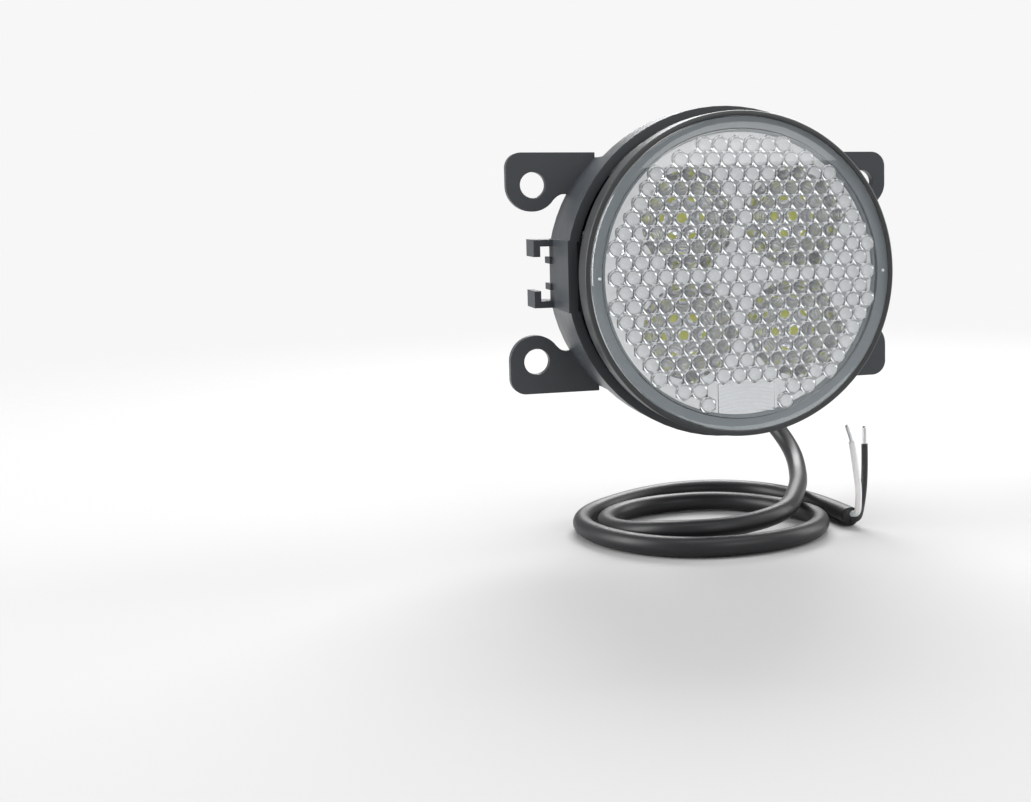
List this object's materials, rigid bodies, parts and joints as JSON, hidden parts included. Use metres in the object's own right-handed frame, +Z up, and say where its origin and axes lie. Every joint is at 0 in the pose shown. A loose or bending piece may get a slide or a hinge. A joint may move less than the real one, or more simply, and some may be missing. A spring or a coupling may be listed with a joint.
{
  "type": "fog light",
  "caption": "Round LED fog light: hex-lenslet lens and reflector cups in a finned heat sink, tilting in a plastic bracket with ears, an aim screw and a coiled cable.",
  "frame": {"origin": "on the lamp's optical axis, in the plane of the ears' rear faces", "axes": "+X to the right seen from the front, -Y out of the lens, +Z up"},
  "size_m": [0.123, 0.0962, 0.1299],
  "materials": {
    "bracket_plastic": "dark grey glass-filled plastic, satin",
    "nylon": "natural nylon",
    "dark_steel": "blackened steel screws and pins",
    "black_casting": "die casting with a black coating, slightly rough",
    "bezel_plastic": "dark grey plastic, satin",
    "clear_lens": "clear polycarbonate, glossy, lenslets inside",
    "black_rubber": "black rubber",
    "metallised": "plastic with a bright metal coating",
    "led_phosphor": "yellow phosphor square",
    "circuit_board": "white solder mask",
    "pad_silicone": "soft grey-blue silicone sheet",
    "chip_black": "moulded black epoxy",
    "can_aluminium": "bare can",
    "cable_jacket": "black flexible jacket, satin",
    "white_insulation": "white wire insulation, satin",
    "tinned_copper": "tinned copper strands"
  },
  "bodies": {
    "bracket": {"bracket": "bracket_plastic", "pivot_bearing_left": "nylon", "pivot_bearing_right": "nylon", "bracket_screw_left": "dark_steel", "bracket_screw_right": "dark_steel", "cable_drop": "cable_jacket", "cable_coil": "cable_jacket", "white_wire": "white_insulation", "black_wire": "cable_jacket", "white_wire_end": "tinned_copper", "black_wire_end": "tinned_copper"},
    "lamp": {"heat_sink": "black_casting", "pivot_pin_left": "dark_steel", "pivot_pin_right": "dark_steel", "bezel_ring": "bezel_plastic", "lens": "clear_lens", "lens_gasket": "black_rubber", "reflector_plate": "metallised", "reflector_cup_upper_left": "metallised", "led_upper_left": "led_phosphor", "reflector_cup_upper_right": "metallised", "led_upper_right": "led_phosphor", "reflector_cup_lower_left": "metallised", "led_lower_left": "led_phosphor", "reflector_cup_lower_right": "metallised", "led_lower_right": "led_phosphor", "board_screw_1": "dark_steel", "board_screw_2": "dark_steel", "board_screw_3": "dark_steel", "board_screw_4": "dark_steel", "led_board": "circuit_board", "thermal_pad": "pad_silicone", "terminal_block": "nylon", "driver_board": "circuit_board", "driver_inductor": "chip_black", "driver_capacitor": "can_aluminium", "driver_chip": "chip_black", "adjuster_nut": "nylon", "cable_boot": "black_rubber", "cable_entry": "cable_jacket"},
    "adjuster": {"adjuster_screw": "dark_steel", "adjuster_clip": "dark_steel"}
  },
  "joints": [
    {"name": "lamp_tilt", "type": "hinge", "parent": "bracket", "child": "lamp", "pos_m": [0, -0.02, 0], "axis": [1, 0, 0], "range_deg": [-3, 3]},
    {"name": "adjuster_turn", "type": "hinge", "parent": "bracket", "child": "adjuster", "pos_m": [0, -0.018, -0.042], "axis": [0, 1, 0], "range_deg": [-410, 410]}
  ],
  "couplings": [
    {"joint": "adjuster_turn", "follows": "lamp_tilt", "ratio": -131.9}
  ]
}
